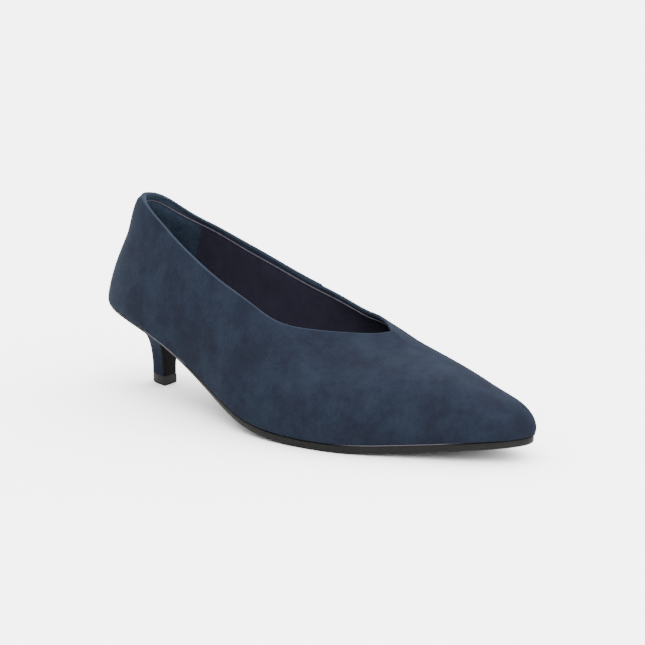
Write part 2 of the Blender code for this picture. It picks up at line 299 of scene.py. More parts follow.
    def inward(self, side: Side, angle: Grid, turn: Grid) -> Grid:
        """Unit normal of the outside at a point, into the shoe: the cross product of
        the steps along the shoe and up the wall.

        Args:
            side: Side of the shoe.
            angle: Angles round the last.
            turn: Turns up the wall, of a shape that fits the angles.

        Returns:
            Normals of the shape of both with a last axis of x, y and z.
        """
        small = 0.003
        along = self.wall_point(side, angle + small, turn)
        along = along - self.wall_point(side, angle - small, turn)
        upward = self.wall_point(side, angle, turn + small)
        upward = upward - self.wall_point(side, angle, turn - small)
        normal = side.value * np.cross(along, upward)
        return normal / np.linalg.norm(normal, axis=-1, keepdims=True)

    def collar_turn(self, side: Side, angle: Grid, throat_x: float) -> Grid:
        """How far up the wall a collar line cuts, as a turn. It reaches the ridge at
        its throat along a curve rounded by the notch.

        Args:
            side: Side of the shoe.
            angle: Angles round the last.
            throat_x: Place of the throat, where the line reaches the ridge.

        Returns:
            The turn of the line at each angle.
        """
        table = np.array(self.collar, float)
        throat = self.station(throat_x)
        knots = self.station(table[:, 0] * throat_x)
        row = read_columns(knots, table, np.minimum(angle, throat), COLLAR_COLUMNS)
        behind = np.maximum(throat - angle, 1e-5)
        share = row[side.label + "_open"] * np.sqrt(1 + 2 * self.throat_notch / behind)
        turn = (1 - np.clip(share, 0, 0.8)) * math.pi / 2
        return np.where(angle < throat, turn, math.pi / 2)

    def angles(self, behind: int, ahead: int, throat_x: float) -> Grid:
        """Angles of a grid's columns. Next to a throat their distance from it grows as
        the square of their number, and further off they are even.

        Args:
            behind: Count of even columns behind the throat.
            ahead: Count of even columns ahead of it.
            throat_x: Place of the throat.

        Returns:
            Rising angles, short of both ends.
        """
        throat = self.station(throat_x)
        near = self.throat_reach * np.linspace(0, 1, self.throat_columns) ** 2
        back = np.linspace(0, throat - near[-1], behind, endpoint=False)
        front = np.linspace(math.pi, throat + near[-1], ahead, endpoint=False)[::-1]
        every = np.concatenate([back, throat - near[::-1], throat + near[1:], front])
        return np.clip(every, END_ANGLE, math.pi - END_ANGLE)

    def joined(self, angles: Grid, throat_x: float) -> Grid:
        """Which columns are at a throat or ahead of it, where both sides meet."""
        return angles > self.station(throat_x) - 1e-6

    def round_trip(self, angles: Grid) -> list[tuple[Side, Grid]]:
        """The two stretches of a ring: out along the lateral side, back along the other."""
        return [(Side.LATERAL, angles), (Side.MEDIAL, angles[-2:0:-1])]


LAST = Last()


def tone(code: str) -> tuple[float, float, float, float]:
    """Turns an sRGB hex colour into linear values.

    Args:
        code: Six hex digits.

    Returns:
        Red, green, blue and alpha for a shader socket.
    """
    channels = [int(code[i:i + 2], 16) / 255 for i in (0, 2, 4)]
    linear = [c / 12.92 if c <= 0.04045 else ((c + 0.055) / 1.055) ** 2.4 for c in channels]
    return (*linear, 1.0)


def add_node(tree: bpy.types.NodeTree, kind: str, settings: dict | None = None,
             inputs: dict | None = None) -> bpy.types.Node:
    """Adds a node to a tree.

    Args:
        tree: The node tree.
        kind: The node's type without its ShaderNode prefix.
        settings: Properties of the node by name.
        inputs: For each input socket, a value, or the output socket to link from.

    Returns:
        The new node.
    """
    node = tree.nodes.new("ShaderNode" + kind)
    for name, value in (settings or {}).items():
        setattr(node, name, value)
    for socket, value in (inputs or {}).items():
        if isinstance(value, bpy.types.NodeSocket):
            tree.links.new(value, node.inputs[socket])
        else:
            node.inputs[socket].default_value = value
    return node


def start_material(name: str) -> tuple[bpy.types.Material, bpy.types.Node]:
    """Makes a material.

    Args:
        name: The finish's name.

    Returns:
        The material and its Principled shader.
    """
    material = bpy.data.materials.new(name)
    material.use_nodes = True
    return material, material.node_tree.nodes["Principled BSDF"]


def set_ramp(node: bpy.types.Node, stops: tuple[float, ...], tones: list[str]) -> None:
    """Sets a colour ramp's stops.

    Args:
        node: The colour ramp node.
        stops: Positions from low to high.
        tones: The hex colour of each stop.
    """
    elements = node.color_ramp.elements
    while len(elements) < len(stops):
        elements.new(0.5)
    for element, position, code in zip(elements, stops, tones):
        element.position = position
        element.color = tone(code)


def noise(tree: bpy.types.NodeTree, vector: bpy.types.NodeSocket, grain_mm: float,
          detail: float = 2.0) -> bpy.types.NodeSocket:
    """Adds noise whose lumps have a real size.

    Args:
        tree: The node tree.
        vector: Coordinates in metres.
        grain_mm: Size of a lump in millimetres.
        detail: Octaves of finer lumps.

    Returns:
        The noise's grey output.
    """
    settings = {"noise_dimensions": "3D"}
    inputs = {"Vector": vector, "Scale": 1000.0 / grain_mm, "Detail": detail, "Roughness": 0.6}
    return add_node(tree, "TexNoise", settings, inputs).outputs["Fac"]


def blend_tones(tree: bpy.types.NodeTree, outputs: list[bpy.types.NodeSocket],
                weights: tuple[float, ...]) -> bpy.types.NodeSocket:
    """Adds up grey outputs by their weights.

    Args:
        tree: The node tree.
        outputs: The outputs.
        weights: The weight of each.

    Returns:
        The weighted sum.
    """
    total = 0.0
    for output, weight in zip(outputs, weights):
        inputs = {0: output, 1: weight, 2: total}
        total = add_node(tree, "Math", {"operation": "MULTIPLY_ADD"}, inputs).outputs[0]
    return total


@dataclass(frozen=True)
class Suede:
    """Split calf suede, dyed through and brushed: matt, with a short nap that lies in
    patches, so that its tone drifts in blotches and faint brush strokes. Along the collar's
    fold it is painted paler in an edge tone, partly the nap that the fold opens and partly
    a painted highlight; the heel's front corners take the same tone a little."""

    name: str
    dark: str
    middle: str
    light: str
    # Edge tone: a painted highlight along the collar's fold, partly the opened nap, and the
    # heel's front corners.
    edge: str
    sheen: float = 0.04
    sheen_tone: str = "a9bcd0"
    sheen_roughness: float = 0.35
    roughness: float = 0.95
    gloss: float = 0.02
    blotch_mm: float = 17.0
    patch_mm: float = 5.0
    stroke_mm: float = 1.6
    nap_mm: float = 0.7
    shares: tuple[float, ...] = (0.5, 0.22, 0.13, 0.15)
    stops: tuple[float, ...] = (0.4, 0.5, 0.6)
    stroke_turn: tuple[float, ...] = (0.0, 0.25, 0.0)
    stroke_scale: tuple[float, ...] = (1.0, 1.0, 0.22)
    relief_shares: tuple[float, ...] = (0.6, 0.4)
    relief: float = 0.55
    relief_mm: float = 0.4

    def material(self) -> bpy.types.Material:
        """The suede as a material: four noises, from the blotches down to the nap, are
        added up into a grey that picks the tone. The nap is drawn twice as coarse as a
        real one, so that it shows.

        Returns:
            The material.
        """
        material, shader = start_material(self.name)
        tree = material.node_tree
        place = add_node(tree, "TexCoord").outputs["Object"]
        brushed = add_node(tree, "Mapping", None, {
            "Vector": place, "Rotation": self.stroke_turn, "Scale": self.stroke_scale})
        blotch = noise(tree, place, self.blotch_mm, 3.0)
        patch = noise(tree, place, self.patch_mm)
        stroke = noise(tree, brushed.outputs[0], self.stroke_mm)
        nap = noise(tree, place, self.nap_mm)
        grey = blend_tones(tree, [blotch, patch, stroke, nap], self.shares)
        ramp = add_node(tree, "ValToRGB", None, {"Fac": grey})
        set_ramp(ramp, self.stops, [self.dark, self.middle, self.light])
        # The mask mixes in the edge tone: a painted highlight along the collar's fold, partly the
        # nap that the fold opens, and the heel's front corners.
        rim = add_node(tree, "Attribute", {"attribute_name": "raw_edge_and_highlight"}).outputs["Fac"]
        highlight_and_wear = add_node(tree, "Mix", {"data_type": "RGBA"}, {
            0: rim, 6: ramp.outputs["Color"], 7: tone(self.edge)})
        tree.links.new(highlight_and_wear.outputs[2], shader.inputs["Base Color"])
        height = blend_tones(tree, [nap, stroke], self.relief_shares)
        bump = add_node(tree, "Bump", None, {
            "Height": height, "Strength": self.relief, "Distance": self.relief_mm * MM})
        tree.links.new(bump.outputs["Normal"], shader.inputs["Normal"])
        shader.inputs["Roughness"].default_value = self.roughness
        shader.inputs["Specular IOR Level"].default_value = self.gloss
        shader.inputs["Sheen Weight"].default_value = self.sheen
        shader.inputs["Sheen Roughness"].default_value = self.sheen_roughness
        shader.inputs["Sheen Tint"].default_value = tone(self.sheen_tone)
        return material


@dataclass(frozen=True)
class SmoothFinish:
    """A smooth dyed leather, board, plastic or rubber: an even colour that drifts a
    little, a fine grain that breaks the shine, and streaks where it was cut."""

    name: str
    dark: str
    light: str
    roughness: float
    gloss: float
    drift_mm: float = 9.0
    grain_mm: float = 0.6
    streak: tuple[float, ...] = (1.0, 1.0, 1.0)
    relief: float = 0.25
    relief_mm: float = 0.3
    shares: tuple[float, ...] = (0.6, 0.4)
    stops: tuple[float, ...] = (0.38, 0.62)
    grey_range: tuple[float, ...] = (0.35, 0.65)
    roughness_drift: float = 0.08

    def material(self) -> bpy.types.Material:
        """The finish as a material: a wide drift and a fine grain are added up into a
        grey that picks the tone and the roughness, and the grain gives the relief.

        Returns:
            The material.
        """
        material, shader = start_material(self.name)
        tree = material.node_tree
        place = add_node(tree, "TexCoord").outputs["Object"]
        drawn = add_node(tree, "Mapping", None, {"Vector": place, "Scale": self.streak})
        drift = noise(tree, place, self.drift_mm, 3.0)
        grain = noise(tree, drawn.outputs[0], self.grain_mm)
        grey = blend_tones(tree, [drift, grain], self.shares)
        ramp = add_node(tree, "ValToRGB", None, {"Fac": grey})
        set_ramp(ramp, self.stops, [self.dark, self.light])
        tree.links.new(ramp.outputs["Color"], shader.inputs["Base Color"])
        spread = add_node(tree, "MapRange", None, {
            "Value": grey, "From Min": self.grey_range[0], "From Max": self.grey_range[1],
            "To Min": self.roughness - self.roughness_drift,
            "To Max": self.roughness + self.roughness_drift})
        tree.links.new(spread.outputs["Result"], shader.inputs["Roughness"])
        bump = add_node(tree, "Bump", None, {
            "Height": grain, "Strength": self.relief, "Distance": self.relief_mm * MM})
        tree.links.new(bump.outputs["Normal"], shader.inputs["Normal"])
        shader.inputs["Specular IOR Level"].default_value = self.gloss
        return material


# The outside: deep navy without shine, cloudy where the nap was brushed either way.
# Its edge tone is a painted highlight along the collar's fold, partly the nap that the fold
# opens.
NAVY_SUEDE = Suede("brushed_navy_suede", dark="13151d", middle="151922", light="181d26",
                   edge="262e38")
# The grip inside the counter: the same hide with its nap up, so paler and bluer.
GRIP_SUEDE = Suede("heel_grip_suede", dark="202732", middle="28303d", light="2d3846",
                   edge="344150", sheen=0.03)
# Glazed calf inside the shoe: an almost black violet blue with a dull, even face.
NAVY_LINING = SmoothFinish("navy_lining_leather", "23222d", "292834", roughness=0.6,
                           gloss=0.08, relief=0.12)
# Leather cut through: the undyed core reads as a thin greyish lilac line.
RAW_EDGE = SmoothFinish("cut_leather_edge", "3b3840", "49454e", roughness=0.7, gloss=0.1,
                        drift_mm=3.0, grain_mm=0.4)
# Waxed leather board: black, with a faint sheen in streaks along the trimmed edge.
SOLE_BOARD = SmoothFinish("dyed_sole_edge", "0e0e0e", "151514", roughness=0.5, gloss=0.07,
                          drift_mm=12.0, grain_mm=0.35, streak=(0.1, 0.1, 1.0))
# Thin board on the heel's front: black and flat, brushed downwards.
BREAST_FACING = SmoothFinish("black_breast_facing", "0f0f10", "161616", roughness=0.8,
                             gloss=0.02, drift_mm=8.0, grain_mm=0.5, streak=(1.0, 1.0, 0.15))
# Moulded rubber: charcoal and dull, a shade greyer than the facing above it.
LIFT_RUBBER = SmoothFinish("black_lift_rubber", "151516", "1b1b1c", roughness=0.6, gloss=0.08,
                           drift_mm=5.0, grain_mm=0.45)
# Twisted polyester thread: a little paler than the suede, so the stitches show.
NAVY_THREAD = SmoothFinish("navy_thread", "191d26", "232a34", roughness=0.7, gloss=0.05,
                           drift_mm=2.0, grain_mm=0.3)


def quads(rows: int, columns: int, closed: bool = False) -> Grid:
    """Corners of the quads of a grid.

    Args:
        rows: Count of rows.
        columns: Points in a row.
        closed: Whether each row's last point joins its first.

    Returns:
        An array of four corners for each quad.
    """
    i, j = np.meshgrid(np.arange(rows - 1), np.arange(columns if closed else columns - 1),
                       indexing="ij")
    corner = i * columns + j
    after = i * columns + (j + 1) % columns
    return np.stack([corner, corner + columns, after + columns, after], -1).reshape(-1, 4)


def stack_rings(rings: list[Grid] | Grid) -> tuple[Grid, Grid, list[Grid]]:
    """Joins closed rings of equal counts in a stack, and closes its first and last.

    Args:
        rings: The points of each ring.

    Returns:
        The points, the quads between the rings and the two end loops.
    """
    points = np.stack(rings)
    levels, count = points.shape[:2]
    first = np.arange(count)
    last = first[::-1] + (levels - 1) * count
    return points, quads(levels, count, closed=True), [first, last]


def sweep(path: Grid, radius: Grid | float, around: int = 8) -> tuple[Grid, Grid]:
    """A round tube along a closed path. Each ring lies across the path's own direction,
    which is the step from the point before to the point after.

    Args:
        path: Points of the closed path.
        radius: Radius of the tube, or one for each point as a column.
        around: Points in a ring.

    Returns:
        The points and the quads.
    """
    ahead = np.roll(path, -1, axis=0) - np.roll(path, 1, axis=0)
    ahead /= np.linalg.norm(ahead, axis=1, keepdims=True)
    across = np.cross(ahead, (0.0, 0.0, 1.0))
    across /= np.linalg.norm(across, axis=1, keepdims=True)
    upward = np.cross(across, ahead)
    turn = np.linspace(0, 2 * math.pi, around, endpoint=False)[:, None]
    ring = across[:, None] * np.cos(turn) + upward[:, None] * np.sin(turn)
    points = path[:, None] + radius * ring
    closed = np.concatenate([points, points[:1]])
    return closed, quads(len(path) + 1, around, closed=True)


def make_piece(name: str, points: Grid, corners: Grid, finish: Suede | SmoothFinish,
               raw_edge_and_highlight: Grid | None = None, ends: list[Grid] | None = None,
               weld: float = 0.03) -> bpy.types.Object:
    """Makes one closed object that rides on the shoe.

    Args:
        name: The piece's name.
        points: Points on the last in millimetres.
        corners: Quads between them.
        finish: The finish that dresses it.
        raw_edge_and_highlight: For each point, how far it takes the suede's pale edge tone: the
            nap opened by a fold, partly a painted highlight along the collar.
        ends: Loops of points that close the piece.
        weld: Distance in millimetres under which points are merged.

    Returns:
        The new object.
    """
    mesh = bpy.data.meshes.new(name)
    place = (points.reshape(-1, 3) - (LAST.origin_x, LAST.origin_y, 0.0)) * MM
    faces = corners.tolist() + [loop.tolist() for loop in ends or []]
    mesh.from_pydata(place.tolist(), [], faces)
    shade = mesh.attributes.new("raw_edge_and_highlight", "FLOAT", "POINT")
    if raw_edge_and_highlight is not None:
        shade.data.foreach_set("value", raw_edge_and_highlight.reshape(-1).astype(np.float32))
    piece = bpy.data.objects.new(name, mesh)
    bpy.context.scene.collection.objects.link(piece)
    welded = bmesh.new()
    welded.from_mesh(mesh)
    bmesh.ops.remove_doubles(welded, verts=welded.verts, dist=weld * MM)
    bmesh.ops.dissolve_degenerate(welded, edges=welded.edges, dist=NO_LENGTH)
    bmesh.ops.recalc_face_normals(welded, faces=welded.faces)
    open_edges = sum(not edge.is_manifold for edge in welded.edges)
    welded.to_mesh(mesh)
    welded.free()
    mesh.shade_smooth()
    mesh.set_sharp_from_angle(angle=math.radians(SHARP_DEGREES))
    mesh.materials.append(bpy.data.materials.get(finish.name) or finish.material())
    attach(piece, "root")
    LOG.info("%s: %d faces, %d open edges", name, len(mesh.polygons), open_edges)
    return piece


@dataclass(frozen=True)
class Flank:
    """One side of the upper before it is folded: points up the wall and down the facing
    behind the collar, each with its unit normal into the shoe."""

    side: Side
    wall: Grid
    inside: Grid
    facing: Grid
    facing_inside: Grid


@dataclass(frozen=True)
class Upper:
    """The suede upper, its folded collar, its lining, heel grip and side seam."""

    columns_behind: int = 190
    columns_ahead: int = 90
    rows: int = 56
    inner_step: int = 4
    fold_rows: int = 10
    facing_rows: int = 7
    tuck_rows: int = 3
    margin: float = 6.0
    tuck: float = 0.9
    fold_radius: float = 0.9
    back_roll: float = 0.6
    back_roll_x: tuple[float, float] = (10.0, 1.0)
    throat_ease: float = 0.05
    facing_drop: float = 3.1
    facing_lap: float = 0.2
    # Share of the edge tone on the fold and the facing: a painted highlight along the collar,
    # partly the opened nap; the fold's first two rows take their own shares.
    rim_highlight: float = 0.45
    first_rows_highlight: tuple[float, float] = (0.3, 0.55)
    lip_reach: float = 2.8
    lip_x: tuple[float, float] = (36.0, 3.0)
    lip_rise: tuple[float, float] = (0.62, 0.97)
    lip_curl: float = 0.3
    lip_curl_start: float = 0.95
    hollow_depth: float = 0.2
    hollow_shares: tuple[float, float, float] = (0.3, 0.6, 0.85)
    waves: Table = ((0.10, 9.0, 14.0), (0.07, -23.0, 6.5))
    wave_ease: float = 14.0
    toe_trim: float = 0.9
    toe_trim_x: float = 246.0
    seam_x: float = 121.0
    seam_step: float = 0.55
    seam_edge: float = 0.7
    seam_fade: tuple[float, float] = (34.0, 6.0)
    stitch_behind: float = 2.0
    stitch_span: tuple[float, float] = (2.0, 40.0)
    stitch_pitch: float = 2.4
    stitch_length: float = 1.7
    stitch_radius: float = 0.24
    stitch_lift: float = 0.05
    stitch_rows: int = 7
    stitch_around: int = 6
    stitch_taper: float = 0.12
    stitch_across: tuple[float, float, float] = (1.0, 0.0, 0.2)
    lining_columns: tuple[int, int] = (120, 50)
    lining_rows: int = 26
    lining_foot: float = 0.03
    lining_gap: float = 0.02
    lining_thickness: float = 0.4
    lining_ahead: float = 4.0
    lining_ease: float = 0.6
    edge_radius: float = 0.3
    edge_under_grip: float = 0.3
    edge_bare_x: tuple[float, float] = (26.0, 40.0)
    grip_front_x: float = 34.0
    grip_columns: int = 60
    grip_rows: int = 34
    grip_shares: tuple[float, float] = (0.04, 0.985)
    grip_sunk: float = 0.1
    grip_edge: float = 0.05
    grip_thickness: float = 0.5
    grip_thin: tuple[float, float] = (0.12, 0.06)

    def even_turns(self, side: Side, angles: Grid, top: Grid, lengths: Grid) -> Grid:
        """Turns at given lengths up the wall, found by adding up fine steps.

        Args:
            side: Side of the shoe.
            angles: Angles of the columns.
            top: The turn where each column ends.
            lengths: For each column, shares of its whole length if at most 1, and
                millimetres down from its top if negative.

        Returns:
            The turn of each row in each column.
        """
        fine = np.linspace(0, 1, 240) ** 1.3
        turns = top[:, None] * fine
        steps = np.diff(LAST.wall_point(side, angles[:, None], turns), axis=1)
        along = np.concatenate([np.zeros((len(angles), 1)),
                                np.cumsum(np.linalg.norm(steps, axis=2), axis=1)], axis=1)
        whole = along[:, -1:]
        wanted = np.where(lengths < 0, whole + lengths, whole * lengths)
        return np.stack([np.interp(w, a, t) for w, a, t in zip(wanted, along, turns)])

    def lip(self, angles: Grid, shares: Grid | float) -> Grid:
        """How far the top of the back stands out: a smooth rise to just under the
        collar, curled in a little above it, less a slight hollow lower down. Both fade
        round the sides.

        Args:
            angles: Angles round the last.
            shares: Shares of the wall's length.

        Returns:
            The distance at each of them.
        """
        low, middle, high = self.hollow_shares
        round_back = smooth_step(*self.lip_x, LAST.place(angles))
        hollow = smooth_step(low, middle, shares) * smooth_step(high, middle, shares)
        curl = self.lip_curl * smooth_step(self.lip_curl_start, 1, shares)
        swell = smooth_step(*self.lip_rise, shares) - curl
        return round_back * (self.lip_reach * swell - self.hollow_depth * hollow)

    def relief(self, side: Side, angles: Grid, points: Grid) -> Grid:
        """How far the suede stands out from the last: shallow waves of a soft upper,
        as sines of x and z, a trim of the toe, and on the medial side the lap of the
        quarter over the vamp, a step that fades towards the heel.

        Args:
            side: Side of the shoe.
            angles: Angles of the columns.
            points: Points of the wall.

        Returns:
            The distance at each point.
        """
        x, z = points[..., 0], points[..., 2]
        waves = sum(height * np.sin(x / along + z / upward)
                    for height, along, upward in self.waves)
        ease = smooth_step(0, self.wave_ease, x) * smooth_step(LAST.length, LAST.toe_x, x)
        toe = -self.toe_trim * smooth_step(self.toe_trim_x, LAST.length, x)
        lap = 0.0
        if side is Side.MEDIAL:
            behind = (LAST.station(self.seam_x) - angles)[:, None] * LAST.half_length
            lap = self.seam_step * smooth_step(0, self.seam_edge, behind)
            lap = lap * smooth_step(*self.seam_fade, behind)
        return waves * ease + toe + lap

    def flank(self, side: Side, angles: Grid, joined: Grid, radius: Grid) -> Flank:
        """One side, at even lengths up the wall to where the fold starts, which is a
        radius under the collar line and closes on it at the throat, and from there
        down the facing.

        Args:
            side: Side of the shoe.
            angles: Angles of the columns.
            joined: Which columns are ahead of the throat.
            radius: Radius of the fold in each column.

        Returns:
            The side's points and normals.
        """
        column = angles[:, None]
        count = (len(angles), 1)
        top = LAST.collar_turn(side, angles, LAST.throat_x)
        room = (LAST.station(LAST.throat_x) - angles) / self.throat_ease
        drop = (radius * np.sqrt(np.clip(room, 0.0001, 1)))[:, None]
        top = np.where(joined, top, self.even_turns(side, angles, top, -drop)[:, 0])
        shares = np.linspace(0, 1, self.rows)
        depths = -np.linspace(0.01, 1, self.facing_rows) * (self.facing_drop + self.facing_lap)
        up = self.even_turns(side, angles, top, np.tile(shares, count))
        down = self.even_turns(side, angles, top, np.tile(depths, count))
        return Flank(side, LAST.wall_point(side, column, up), LAST.inward(side, column, up),
                     LAST.wall_point(side, column, down), LAST.inward(side, column, down))

    @staticmethod
    def share_normals(flanks: list[Flank], joined: Grid) -> None:
        """Gives both sides the same normals where they meet: at the back, at the toe
        and along the ridge, where each is the unit sum of the two.

        Args:
            flanks: Both sides.
            joined: Which columns are ahead of the throat.
        """
        meet = flanks[0].inside + flanks[1].inside
        meet /= np.linalg.norm(meet, axis=-1, keepdims=True)
        for flank in flanks:
            flank.inside[[0, -1]] = meet[[0, -1]]
            flank.inside[joined, -1] = meet[joined, -1]

    @staticmethod
    def collar_runs(flanks: list[Flank], joined: Grid) -> list[Grid]:
        """Unit direction of the collar in each column: the step from the point before
        to the point after on the closed line round both sides. Ahead of the throat it
        stays as it is there.

        Args:
            flanks: Both sides.
            joined: Which columns are ahead of the throat.

        Returns:
            The directions of each side.
        """
        lateral, medial = (flank.wall[:, -1] for flank in flanks)
        count = np.count_nonzero(~joined) + 1
        line = np.concatenate([lateral[:count], medial[:count - 1][::-1]])
        run = np.roll(line, -1, axis=0) - np.roll(line, 1, axis=0)
        run /= np.linalg.norm(run, axis=1, keepdims=True)
        ahead = (len(joined) - count, 1)
        return [np.concatenate([part, np.tile(part[-1:], ahead)])
                for part in (run[:count], -run[::-1][:count])]

    def fold(self, side: Side, wall: Grid, inside: Grid, run: Grid, radius: Grid) -> Grid:
        """The folded rim: half a circle that starts on the wall, rises across the
        collar's direction and comes down inside.

        Args:
            side: Side of the shoe.
            wall: The wall's top point in each column.
            inside: Its normal into the shoe.
            run: The collar's direction.
            radius: The circle's radius.

        Returns:
            The rows of the rim in each column.
        """
        lift = -side.value * np.cross(run, inside)
        lift /= np.linalg.norm(lift, axis=1, keepdims=True)
        turn = np.linspace(0, math.pi, self.fold_rows + 1)[1:, None]
        return wall[:, None] + radius[:, None, None] * (inside[:, None] * (1 - np.cos(turn))
                                                        + lift[:, None] * np.sin(turn))

    def underside(self, side: Side, angles: Grid, wall: Grid) -> tuple[Grid, int]:
        """The margin under the foot and the tuck up to the wall, a quadratic curve with
        the bottom edge as its middle point.

        Args:
            side: Side of the shoe.
            angles: Angles of the columns.
            wall: Points up the wall.

        Returns:
            The rows from the margin's edge to the tuck, and the wall's row that follows.
        """
        rows = []
        for inset in (self.margin, self.tuck):
            x, y = LAST.outline(side, angles, inset)
            rows.append(np.stack([x, y, LAST.feather(x)], -1)[:, None])
        lengths = np.linalg.norm(wall - wall[:, :1], axis=2)
        start = np.argmin(np.abs(lengths - self.tuck), axis=1).max()
        share = np.linspace(0, 1, self.tuck_rows + 2)[None, 1:-1, None]
        rows.append((1 - share) ** 2 * rows[1] + 2 * share * (1 - share) * wall[:, :1]
                    + share ** 2 * wall[:, start:start + 1])
        return np.concatenate(rows, axis=1), int(start)

    def folded(self, flank: Flank, angles: Grid, radius: Grid, run: Grid) -> tuple[Grid, range]:
        """For each column of a side a closed ring: from the margin under the foot, round
        the tuck, up the wall, over the fold of the collar, down the facing and back
        inside the wall. The facing sinks from the fold's own depth to twice its radius.

        Args:
            flank: The side before it is folded.
            angles: Angles of the columns.
            radius: Radius of the fold in each column.
            run: The collar's direction in each column.

        Returns:
            The rings, and the rows from which a quad belongs to the fold.
        """
        column = angles[:, None]
        inside = flank.inside
        swell = self.lip(column, np.linspace(0, 1, self.rows))
        swell = self.relief(flank.side, angles, flank.wall) + swell
        wall = flank.wall - inside * swell[..., None]
        rim = self.fold(flank.side, wall[:, -1], inside[:, -1], run, radius)
        sink = np.linspace(1, 0, self.facing_rows)
        depth = 2 * radius[:, None] - self.lip(column, 1.0)
        depth = depth * sink + 2 * self.fold_radius * (1 - sink)
        facing = flank.facing + flank.facing_inside * depth[..., None]
        picks = slice(None, None, -self.inner_step)
        inner = (wall[:, picks] + inside[:, picks] * self.fold_radius)[:, 1:-1]
        under, start = self.underside(flank.side, angles, wall)
        above = under[:, :1] + (0.0, 0.0, self.fold_radius)
        top_row = under.shape[1] + self.rows - start - 1
        ring = np.concatenate([under, wall[:, start:], rim, facing, inner, above], axis=1)
        return ring, range(top_row, top_row + self.fold_rows + 1)

    @staticmethod
    def join(grids: list[Grid], joined: Grid, fold: range) -> tuple[Grid, Grid]:
        """Closes the two sides of the shoe on each other: at the back, at the toe and,
        ahead of the throat, along the ridge both take the point halfway between them.
        There the fold is left out.

        Args:
            grids: The closed rings of the lateral side and of the medial one.
            joined: Which columns are ahead of the throat.
            fold: The rows of the fold's quads.

        Returns:
            The points of both sides and the quads.
        """
        both = np.stack(grids)
        both[:, [0, -1]] = both[:, [0, -1]].mean(axis=0)
        for row in (fold.start, fold.stop):
            both[:, joined, row] = both[:, joined, row].mean(axis=0)
        rows = both.shape[2]
        faces = quads(len(joined), rows, closed=True)
        row = faces[:, 0] % rows
        folded = (row >= fold.start) & (row < fold.stop)
        faces = faces[~(folded & joined[faces[:, 0] // rows])]
        return both, np.concatenate([faces, faces + len(joined) * rows])

    def shell(self) -> bpy.types.Object:
        """The suede: the folded rings of both sides, joined. In the throat's column the
        two folds close on each other.

        Returns:
            The suede's object.
        """
        angles = LAST.angles(self.columns_behind, self.columns_ahead, LAST.throat_x)
        joined = LAST.joined(angles, LAST.throat_x)
        roll = self.back_roll * smooth_step(*self.back_roll_x, LAST.place(angles))
        radius = self.fold_radius + roll
        flanks = [self.flank(side, angles, joined, radius) for side in Side]
        self.share_normals(flanks, joined)
        grids = []
        for flank, run in zip(flanks, self.collar_runs(flanks, joined)):
            ring, fold = self.folded(flank, angles, radius, run)
            grids.append(ring)
        points, faces = self.join(grids, joined, fold)
        throat = np.argmax(joined)
        turned = slice(fold.start, fold.stop + 1)
        points[:, throat, turned] = points[:, throat, turned].mean(axis=0)
        # The fold and the facing are painted paler in the edge tone: a painted highlight along
        # the collar, partly the opened nap; none ahead of the throat.
        highlight_and_wear = np.zeros(points.shape[:3])
        first = fold.start + 1
        highlight_and_wear[:, :, first:fold.stop + self.facing_rows] = self.rim_highlight
        highlight_and_wear[:, :, first:first + 2] = self.first_rows_highlight
        highlight_and_wear[:, joined] = 0.0
        suede = make_piece("suede_upper", points, faces, NAVY_SUEDE, highlight_and_wear, weld=0.0005)
        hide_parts("upper")
        return suede

    def lining_top(self, side: Side, angles: Grid) -> Grid:
        """The turn where the lining ends: a facing's drop under the collar line, which
        closes on it round the throat as a square root.

        Args:
            side: Side of the shoe.
            angles: Angles of the columns.

        Returns:
            The turn in each column.
        """
        throat_x = LAST.throat_x + self.lining_ahead
        top = LAST.collar_turn(side, angles, throat_x)
        room = (LAST.station(throat_x) - angles) / self.lining_ease
        drop = self.facing_drop * np.sqrt(np.clip(room, 0.0001, 1))
        return self.even_turns(side, angles, top, -drop[:, None])[:, 0]

    def layer(self, side: Side, angles: Grid, turns: Grid, depth: Grid | float) -> Grid:
        """The wall's points moved into the shoe by a depth."""
        points = LAST.wall_point(side, angles[:, None], turns)
        return points + LAST.inward(side, angles[:, None], turns) * depth

    def lining(self) -> list[bpy.types.Object]:
        """The lining, a thin layer inside the wall from the insole up to the facing and
        over the toe, and the pale cut edge along its top, thinner behind the heel grip.

        Returns:
            The lining's object and its edge's.
        """
        throat_x = LAST.throat_x + self.lining_ahead
        angles = LAST.angles(*self.lining_columns, throat_x)
        joined = LAST.joined(angles, throat_x)
        shares = np.linspace(self.lining_foot, 1, self.lining_rows)
        grids = []
        rim = []
        for side in Side:
            top = self.lining_top(side, angles)
            turns = self.even_turns(side, angles, top, np.tile(shares, (len(angles), 1)))
            behind = self.layer(side, angles, turns, LAST.wall + self.lining_gap)
            front = self.layer(side, angles, turns, LAST.wall + self.lining_thickness)
            for grid in (behind, front):
                grid[[0, -1], :, 1] = 0.0
                grid[joined, -1, 1] = LAST.section(angles[joined])["ridge_y"]
            grids.append(np.concatenate([behind, front[:, ::-1]], axis=1))
            rim.append(front[~joined, -1])
        points, faces = self.join(grids, joined, range(self.lining_rows - 1, self.lining_rows))
        lining = make_piece("lining", points, faces, NAVY_LINING, weld=0.004)
        path = np.concatenate([rim[0], rim[1][::-1][:-1]])
        bare = smooth_step(*self.edge_bare_x, path[:, 0])
        bare = self.edge_under_grip + (1 - self.edge_under_grip) * bare
        tube, corners = sweep(path, self.edge_radius * bare[:, None, None])
        edge = make_piece("lining_edge", tube, corners, RAW_EDGE, weld=0.002)
        return [lining, edge]

